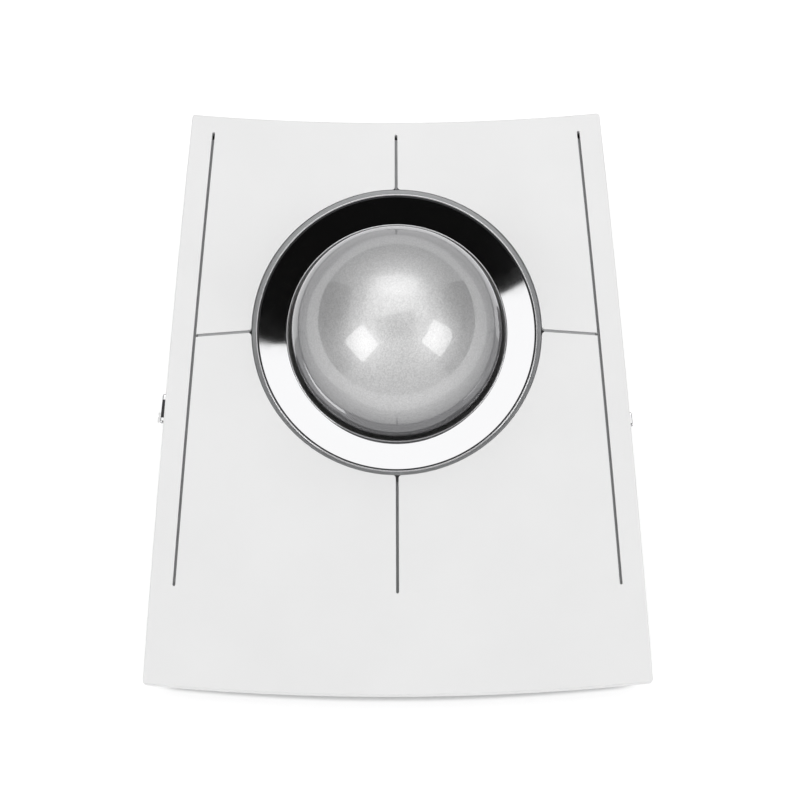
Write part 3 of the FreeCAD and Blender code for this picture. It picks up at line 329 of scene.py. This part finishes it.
def make_materials():
    """One material for each of the record's slots."""
    made = {name: moulded_plastic(name, *values) for name, values in PLASTICS.items()}
    made.update({name: brushed_metal(name, *values) for name, values in METALS.items()})
    made["chrome"] = polished_chrome("chrome")
    made["ball_pearl"] = pearl_coat("ball_pearl")
    made["lens_clear"] = clear_lens("lens_clear")
    made["rubber_dark"] = soft_rubber("rubber_dark")
    return made


def dress(obj, material):
    """Give an object one material."""
    obj.data.materials.clear()
    obj.data.materials.append(material)


# ---------------------------------------------------------------- pieces

def link(name, data):
    """Put a mesh, light or camera in the scene under a name."""
    obj = bpy.data.objects.new(name, data)
    bpy.context.scene.collection.objects.link(obj)
    return obj


def finished(name, shape, slot, body, replaced=()):
    """Turn a bmesh into a dressed piece that rides on a body."""
    for edge in shape.edges:
        edge.smooth = edge.calc_face_angle() < HARD_ANGLE
    mesh = bpy.data.meshes.new(name)
    shape.to_mesh(mesh)
    shape.free()
    mesh.polygons.foreach_set("use_smooth", [True] * len(mesh.polygons))
    piece = link(name, mesh)
    dress(piece, materials[slot])
    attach(piece, body)
    if replaced:
        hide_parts(*replaced)


def from_line(point, start, end):
    """Where a point lies beside a line in plan: share along it, and signed distance to its left."""
    run = Vector((end[0] - start[0], end[1] - start[1]))
    away = Vector((point.x - start[0], point.y - start[1]))
    share = away.dot(run) / run.length_squared
    return share, (run.x * away.y - run.y * away.x) / run.length


def hinge_of(end, side):
    """A panel's hinge line in plan, from the middle outwards."""
    middle, outer = HINGE_LINES[end]
    return (0.0, middle), (side * outer[0], outer[1])


def on_hinge(point, inner, outer):
    """True for a point on one of the two faces of a hinge's hair line."""
    share, aside = from_line(point, inner, outer)
    return -HINGE_OVERRUN < share < 1 + HINGE_OVERRUN and abs(aside) < HINGE_REACH


def make_panels():
    """The four click panels, copied from the cover's buttons with their hinge edges moved to meet
    the frame without a gap.
    """
    for end in HINGE_LINES:
        for name, side in SIDES.items():
            node = end + "_" + name + "_button"
            inner, outer = hinge_of(end, side)
            run = Vector((outer[0] - inner[0], outer[1] - inner[1], 0)).normalized()
            outward = Vector((-run.y, run.x, 0))
            if outward.y * inner[1] < 0:
                outward = -outward
            mesh = nodes[node].data.copy()
            for vertex in mesh.vertices:
                if on_hinge(vertex.co, inner, outer):
                    vertex.co += outward * HINGE_GAP
            panel = link("panel_" + end + "_" + name, mesh)
            dress(panel, materials["cover_white"])
            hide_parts(node)
            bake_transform(panel)


def close_strip(shape, rows):
    """Join each row of vertices to the next, all round."""
    for here, there in rows:
        for index in range(len(here)):
            after = (index + 1) % len(here)
            shape.faces.new((here[index], there[index], there[after], here[after]))


def lathe(profile, segments):
    """A mesh turned about Z from a closed profile of (radius, height) points."""
    shape = bmesh.new()
    rings = []
    for step in range(segments):
        turn = Matrix.Rotation(2 * math.pi * step / segments, 3, "Z")
        rings.append([shape.verts.new(turn @ Vector((radius, 0, height)))
                      for radius, height in profile])
    close_strip(shape, zip(rings, rings[1:] + rings[:1]))
    bmesh.ops.recalc_face_normals(shape, faces=shape.faces)
    return shape


def half_round(centre, radius):
    """Points of a lathe's profile over the top of a half circle, from its outer end."""
    points = []
    for step in range(ARC_STEPS):
        angle = math.radians(180 * step / (ARC_STEPS - 1))
        points.append((centre[0] + radius * math.cos(angle), centre[1] + radius * math.sin(angle)))
    return points


def turned_piece(name, profile, slot, replaced=(), shift=0.0):
    """A ring turned from a profile, in the bezel ring's plane, its axis moved back by a shift."""
    shape = lathe(profile, RING_SEGMENTS)
    to_plane = Matrix.Rotation(RING_TILT, 4, "X") @ Matrix.Translation((0, shift, 0))
    shape.transform(Matrix.Translation(BALL_CENTRE) @ to_plane)
    finished(name, shape, slot, "base", replaced)


def make_ring():
    """The chrome ring: a shallow cone between a rolled lip and a fine inner bead."""
    lip = (RING_OUTER_RADIUS - RING_LIP_INNER) / 2
    groove_floor = RING_CONE_TOP - 2 * RING_GROOVE
    cone_start = RING_LIP_INNER - RING_GROOVE
    cone_end = RING_INNER + 2.6 * RING_BEAD
    profile = [(RING_OUTER_RADIUS, RING_SEAT)]
    profile += half_round((RING_OUTER_RADIUS - lip, RING_LIP_TOP - lip), lip)
    profile += [(RING_LIP_INNER, groove_floor), (cone_start, groove_floor)]
    for step in range(CONE_STEPS + 1):
        share = step / CONE_STEPS
        profile.append((cone_start + (cone_end - cone_start) * share,
                        RING_CONE_TOP + (RING_CONE_BOTTOM - RING_CONE_TOP) * share))
    profile.append((cone_end, RING_CONE_BOTTOM - RING_BEAD))
    profile += half_round((RING_INNER + RING_BEAD, RING_CONE_BOTTOM), RING_BEAD)
    profile += [
        (RING_INNER, RING_CONE_BOTTOM - RING_WALL),
        (RING_INNER + RING_WALL, RING_CONE_BOTTOM - 1.2 * RING_WALL),
        (RING_OUTER_RADIUS - RING_WALL, RING_CONE_TOP - RING_WALL),
        (RING_OUTER_RADIUS - RING_WALL, RING_SEAT),
    ]
    turned_piece("chrome_ring", profile, "chrome", ["bezel_ring"])


def make_ring_shade_line():
    """A dark ring in the groove between the ring's lip and its cone: painted shade where the groove
    looks dark.
    """
    top = RING_CONE_TOP - SHADE_LINE_RECESS
    foot = top - 1.5 * RING_GROOVE
    inner = RING_LIP_INNER - 0.95 * RING_GROOVE
    middle = RING_LIP_INNER - 0.5 * RING_GROOVE
    outer = RING_LIP_INNER - 0.05 * RING_GROOVE
    profile = [(inner, foot), (inner, top), (middle, top - SHADE_LINE_DIP), (outer, top), (outer, foot)]
    # Painted shade: a black ring laid in the groove to draw its dark line.
    turned_piece("ring_groove_painted_shade", profile, "switch_black")


def make_gap_seal():
    """The pale step at the foot of the gap between the ring and its hole."""
    inner = RING_OUTER_RADIUS - HOLE_SHIFT - STEP_RING_OVERLAP
    outer = HOLE_RADIUS - STEP_HOLE_GAP
    shoulder = STEP_TOP - STEP_EDGE
    foot = STEP_TOP - STEP_DEPTH
    profile = [
        (inner, foot), (inner, shoulder), (inner + STEP_EDGE, STEP_TOP),
        (outer - STEP_EDGE, STEP_TOP), (outer, shoulder), (outer, foot),
    ]
    turned_piece("ring_gap_seal", profile, "case_grey", shift=HOLE_SHIFT)


def cover_tree():
    """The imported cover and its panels, to be asked for the height of their upper faces."""
    corners = []
    polygons = []
    for node in COVER_NODES:
        source = nodes[node].data
        polygons += [[index + len(corners) for index in face.vertices] for face in source.polygons]
        corners += [vertex.co.copy() for vertex in source.vertices]
    return BVHTree.FromPolygons(corners, polygons)


def surface_height(cover, spot, across):
    """Height of the cover's upper face beside a slit."""
    heights = []
    for shift in (-BESIDE_SLIT, BESIDE_SLIT):
        beside = spot + across * shift
        hit = cover.ray_cast(Vector((beside.x, beside.y, ABOVE)), Vector(DOWN))
        if hit[0]:
            heights.append(hit[0].z)
    return max(heights)


def rib_shape(cover, start, end, trims, depth):
    """A rib along a slit, short of its ends, its top at a depth below the cover's upper face."""
    run = (end - start).normalized()
    across = Vector((-run.y, run.x, 0))
    start = start + run * trims[0]
    end = end - run * trims[1]
    shape = bmesh.new()
    rows = []
    for step in range(RIB_STEPS + 1):
        spot = start.lerp(end, step / RIB_STEPS)
        top = surface_height(cover, spot, across) - depth
        row = []
        for share, drop in RIB_SECTION:
            place = spot + across * (share * RIB_WIDTH)
            row.append(shape.verts.new((place.x, place.y, top - drop * MM)))
        rows.append(row)
    close_strip(shape, zip(rows, rows[1:]))
    shape.faces.new(rows[0])
    shape.faces.new(rows[-1])
    bmesh.ops.recalc_face_normals(shape, faces=shape.faces)
    return shape


def make_slit_ribs():
    """Grey ribs in the slits, a little below the upper face, that keep dust out of the case."""
    cover = cover_tree()
    for name, side in SIDES.items():
        for label, (start, end, trims, depth) in SLITS.items():
            central = label.startswith("centre")
            if central and name == "right":
                continue
            mirror = 0 if central else side
            first = Vector((start[0] * mirror, start[1], 0))
            last = Vector((end[0] * mirror, end[1], 0))
            shape = rib_shape(cover, first, last, trims, depth)
            tail = "" if central else "_" + name
            finished("slit_rib_" + label + tail, shape, "case_grey", "base")


def make_switch_liner():
    """The glossy black liner let into the top of the mode switch's bezel."""
    low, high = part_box("mode_switch_bezel")
    shape = bmesh.new()
    bmesh.ops.create_cube(shape, size=1.0)
    for vertex in shape.verts:
        vertex.co = vertex.co * LINER_SIZE
    bmesh.ops.bevel(shape, geom=shape.edges[:], offset=LINER_BEVEL, segments=3, affect="EDGES",
                    profile=0.5)
    slant = math.atan2(high.x - low.x - BEZEL_WIDTH, high.y - low.y)
    top = Vector(((low.x + high.x) / 2, (low.y + high.y) / 2, high.z))
    shape.transform(Matrix.Translation(top + LINER_SHIFT) @ Matrix.Rotation(-slant, 4, "Z"))
    finished("mode_switch_liner", shape, "switch_black", "base")


# ---------------------------------------------------------------- stage, lights and camera

def make_stage():
    """A plain pale floor with a painted glow, taken away where a surface stands close above it,
    which paints a narrow contact shadow.
    """
    mesh = bpy.data.meshes.new("floor")
    half = FLOOR_HALF
    corners = [(-half, -half, 0), (half, -half, 0), (half, half, 0), (-half, half, 0)]
    mesh.from_pydata(corners, [], [(0, 1, 2, 3)])
    floor = link("floor", mesh)
    material, tree, shader = new_material("floor_white", (FLOOR_GREY,) * 3, 0.9)
    vary_roughness(tree, shader, noise_at(tree, 30.0).outputs["Fac"], 0.85, 0.95)
    # Painted light and shadow: an emission brightens the floor, and ambient occlusion takes it away
    # close under the object.
    shader.inputs["Emission Color"].default_value = (1.0, 1.0, 1.0, 1.0)
    painted_shadow_ao = add(tree, "ShaderNodeAmbientOcclusion", Distance=PAINTED_SHADOW_REACH)
    painted_glow = add(tree, "ShaderNodeMapRange", From_Min=PAINTED_SHADOW_RANGE[0], From_Max=PAINTED_SHADOW_RANGE[1],
               To_Max=FLOOR_PAINTED_GLOW)
    tree.links.new(painted_shadow_ao.outputs["AO"], painted_glow.inputs["Value"])
    tree.links.new(painted_glow.outputs["Result"], shader.inputs["Emission Strength"])
    dress(floor, material)


def make_dark_cards():
    """Black cards over the camera and at both sides, which only show in mirrors and gloss."""
    material, tree, shader = new_material("card_black", (0.004, 0.004, 0.004), 0.95)
    vary_roughness(tree, shader, noise_at(tree, 30.0).outputs["Fac"], 0.9, 1.0)
    shader.inputs["Specular IOR Level"].default_value = 0.0
    for name, corners in CARDS.items():
        mesh = bpy.data.meshes.new(name)
        placed = [Vector(corner) + BALL_CENTRE for corner in corners]
        mesh.from_pydata(placed, [], [(0, 1, 2, 3)])
        card = link(name, mesh)
        dress(card, material)
        card.visible_camera = False
        card.visible_diffuse = False
        card.visible_shadow = False


def make_sky():
    """A pale studio that is a little brighter at the horizon."""
    world = bpy.data.worlds.new("studio")
    bpy.context.scene.world = world
    world.use_nodes = True
    tree = world.node_tree
    place = add(tree, "ShaderNodeTexCoord")
    parts = add(tree, "ShaderNodeSeparateXYZ")
    sky = add(tree, "ShaderNodeMapRange", From_Max=SKY_BLEND, To_Min=HORIZON_RADIANCE,
              To_Max=SKY_RADIANCE)
    background = tree.nodes["Background"]
    background.inputs["Color"].default_value = (1.0, 1.0, 1.0, 1.0)
    tree.links.new(place.outputs["Generated"], parts.inputs["Vector"])
    tree.links.new(parts.outputs["Z"], sky.inputs["Value"])
    tree.links.new(sky.outputs["Result"], background.inputs["Strength"])


def aim(obj, direction):
    """Point a light or a camera along a direction, its top as near upright as it goes."""
    obj.rotation_mode = "QUATERNION"
    obj.rotation_quaternion = Vector(direction).to_track_quat("-Z", "Y")


def soft_box(name, place, facing, size, radiance):
    """A rectangular softbox beside the ball. A mirror shows its radiance on top of the sky's."""
    data = bpy.data.lights.new(name, "AREA")
    data.shape = "RECTANGLE"
    data.size, data.size_y = size
    data.energy = radiance * size[0] * size[1] * WATTS_PER_RADIANCE
    light = link(name, data)
    light.location = BALL_CENTRE + Vector(place)
    aim(light, facing)
    return light


def make_lights():
    """Plain soft studio light."""
    make_sky()
    for name, direction in DIAMONDS.items():
        toward = Vector(direction).normalized()
        size = (DIAMOND_SIDE, DIAMOND_SIDE)
        soft_box(name, toward * DIAMOND_DISTANCE, -toward, size, DIAMOND_RADIANCE)
    place, size, radiance = REAR_SOFTBOX
    soft_box("rear_softbox", place, DOWN, size, radiance)
    place, size, radiance = REAR_KEY
    soft_box("rear_key", place, -Vector(place).normalized(), size, radiance)
    place, size, radiance = OVERHEAD_FILL
    soft_box("overhead_fill", place, DOWN, size, radiance).visible_glossy = False
    make_dark_cards()


def make_camera():
    """The camera, high in front of the object."""
    data = bpy.data.cameras.new("camera")
    data.sensor_width = SENSOR_MM
    data.lens = LENS_MM
    data.clip_start = CLIP_START
    data.clip_end = CLIP_END
    camera = link("camera", data)
    camera.location = BALL_CENTRE + CAMERA_FROM_BALL
    aim(camera, AIM_FROM_BALL - CAMERA_FROM_BALL)
    bpy.context.scene.camera = camera


materials = make_materials()
for part in frame["record"]["subparts"]:
    dress(nodes[part["node"]], materials[part["material_slot"]])
make_panels()
make_ring()
make_ring_shade_line()
make_gap_seal()
make_switch_liner()
make_slit_ribs()
make_stage()
make_lights()
make_camera()
bpy.context.scene.view_settings.view_transform = "Standard"
